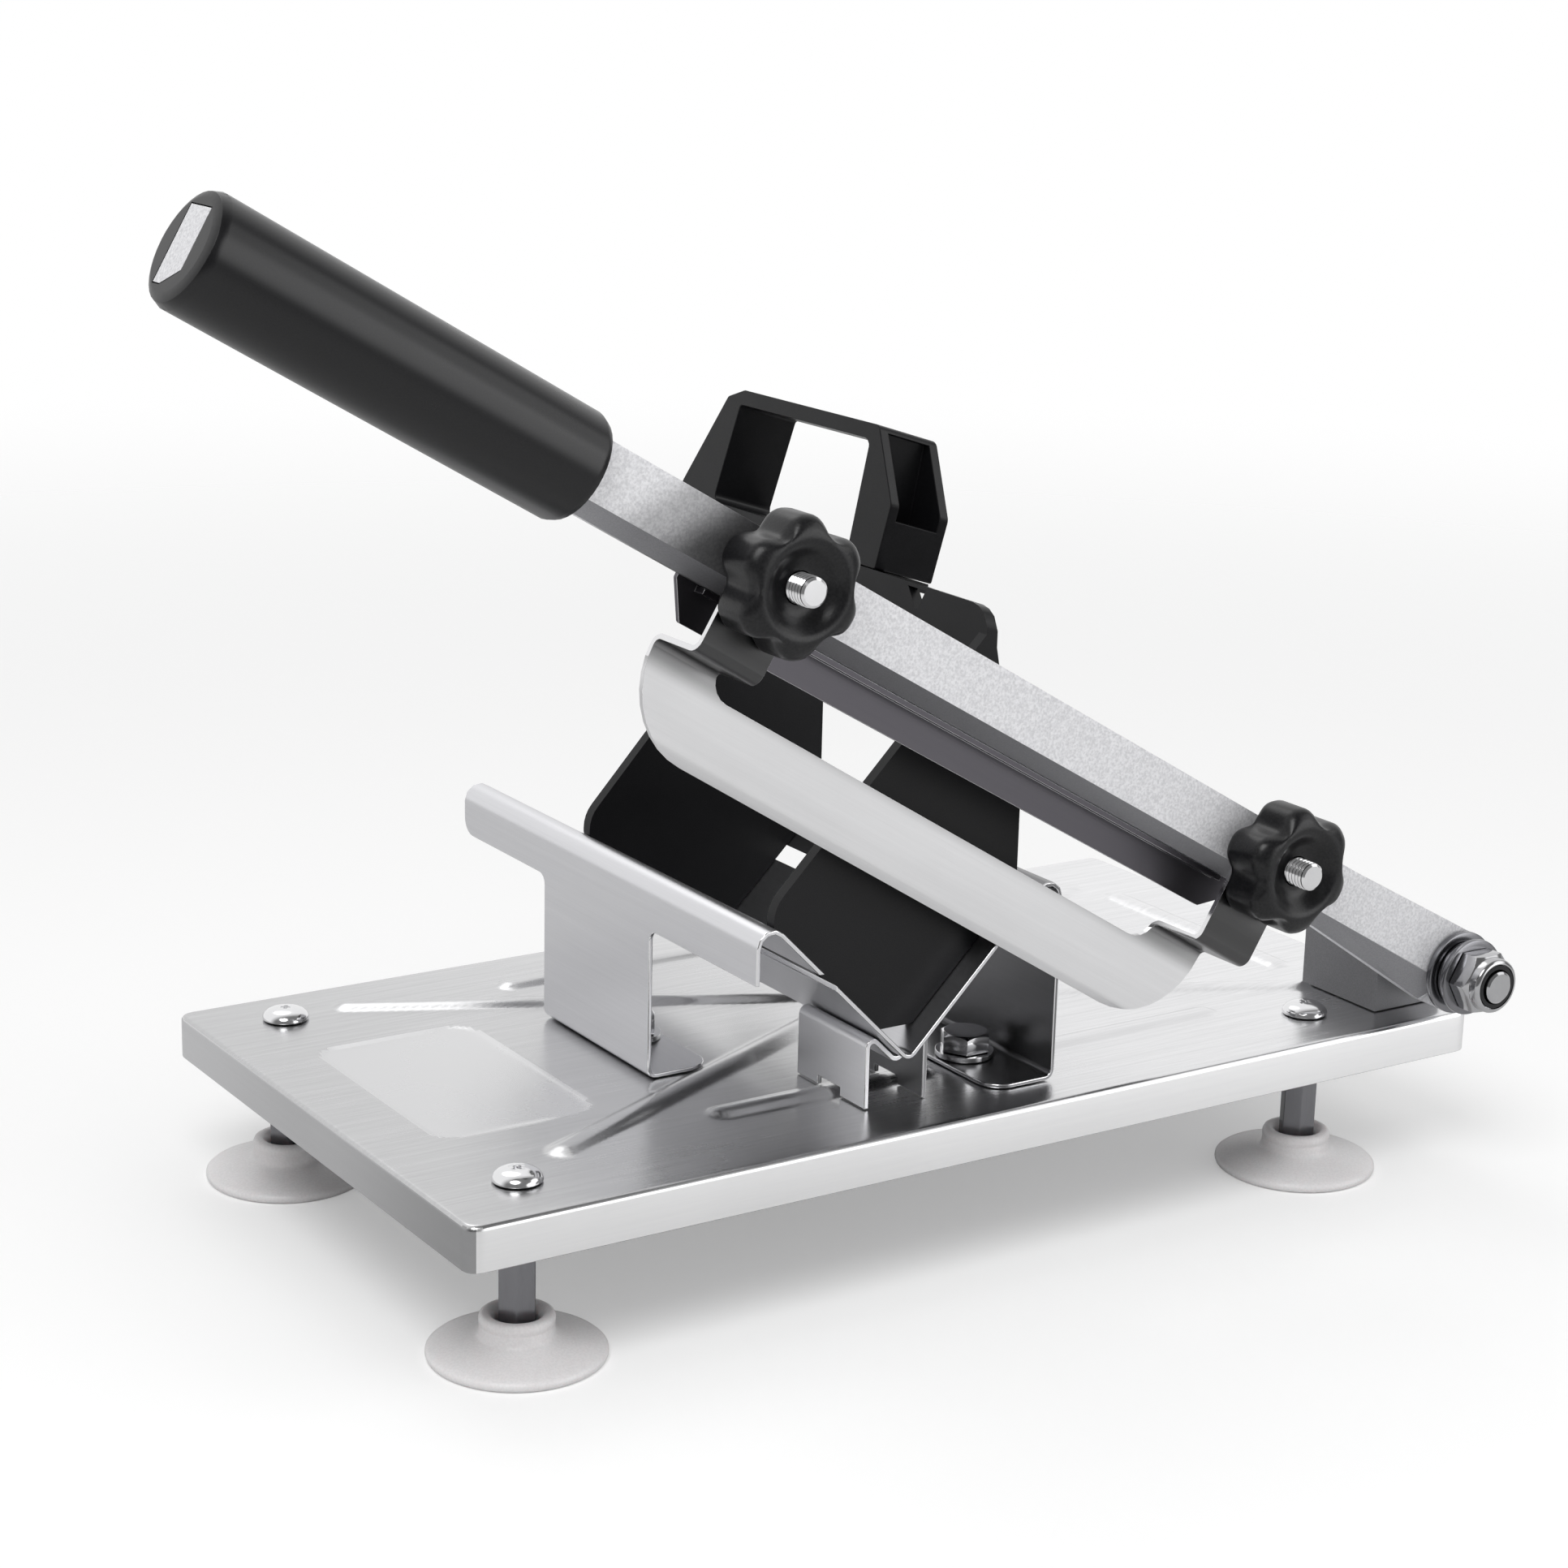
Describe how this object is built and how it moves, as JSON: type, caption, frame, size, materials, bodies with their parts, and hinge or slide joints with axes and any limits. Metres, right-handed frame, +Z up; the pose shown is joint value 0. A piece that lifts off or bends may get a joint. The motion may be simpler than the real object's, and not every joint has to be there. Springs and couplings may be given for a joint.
{
  "type": "frozen meat slicer",
  "caption": "Hand lever slicer: an arm with a joggled blade swings on a bolt over a folded V trough with a pusher, on a pressed steel base with suction feet",
  "frame": {"origin": "middle of the bounding box in X and Y, on the surface that the suction cups stand on", "axes": "+X along the base from the grip end to the pivot end, +Y from the cutting front to the back, +Z up"},
  "size_m": [0.4156, 0.2142, 0.3042],
  "materials": {
    "brushed_stainless": "brushed",
    "bright_steel": "bright plated",
    "plain_steel": "dull plated",
    "silver_paint": "fine textured silver paint",
    "pale_rubber": "satin moulded",
    "grip_plastic": "satin moulded",
    "black_plastic": "fine moulded grain",
    "nylon": "plain moulded"
  },
  "bodies": {
    "base": {"base_plate": "brushed_stainless", "block_screw_back": "plain_steel", "block_screw_front": "plain_steel", "foot_post_back_left": "plain_steel", "foot_post_back_right": "plain_steel", "foot_post_front_left": "plain_steel", "foot_post_front_right": "plain_steel", "foot_screw_back_left": "bright_steel", "foot_screw_back_right": "bright_steel", "foot_screw_front_left": "bright_steel", "foot_screw_front_right": "bright_steel", "nut_insert": "nylon", "pivot_block": "silver_paint", "pivot_bolt": "bright_steel", "pivot_nut": "bright_steel", "pivot_spacer": "plain_steel", "pivot_spring_washer": "plain_steel", "pivot_washer_inner": "plain_steel", "pivot_washer_outer": "bright_steel", "suction_cup_back_left": "pale_rubber", "suction_cup_back_right": "pale_rubber", "suction_cup_front_left": "pale_rubber", "suction_cup_front_right": "pale_rubber", "trough": "brushed_stainless", "trough_bolt_left": "bright_steel", "trough_bolt_right": "bright_steel", "trough_nut_left": "plain_steel", "trough_nut_right": "plain_steel", "trough_saddle": "brushed_stainless", "trough_washer_left": "plain_steel", "trough_washer_right": "plain_steel"},
    "arm": {"arm_bar": "silver_paint", "grip": "grip_plastic", "stop_plate": "plain_steel", "blade": "brushed_stainless", "stud_left": "bright_steel", "stud_right": "bright_steel"},
    "knob_left": {"knob_left": "black_plastic"},
    "knob_right": {"knob_right": "black_plastic"},
    "pusher": {"pusher_plate": "black_plastic", "pusher_handle": "black_plastic"}
  },
  "joints": [
    {"name": "arm_hinge", "type": "hinge", "parent": "base", "child": "arm", "pos_m": [0.19419, -0.08225, 0.0648], "axis": [0, 1, 0], "range_deg": [-8.5, 60]},
    {"name": "left_knob_turn", "type": "hinge", "parent": "arm", "child": "knob_left", "pos_m": [-0.05177, -0.09655, 0.20658], "axis": [0, 1, 0], "continuous": true},
    {"name": "right_knob_turn", "type": "hinge", "parent": "arm", "child": "knob_right", "pos_m": [0.11597, -0.09655, 0.11052], "axis": [0, 1, 0], "continuous": true},
    {"name": "pusher_slide", "type": "slide", "parent": "base", "child": "pusher", "axis": [0, 1, 0], "range_m": [-0.004, 0.06]}
  ]
}
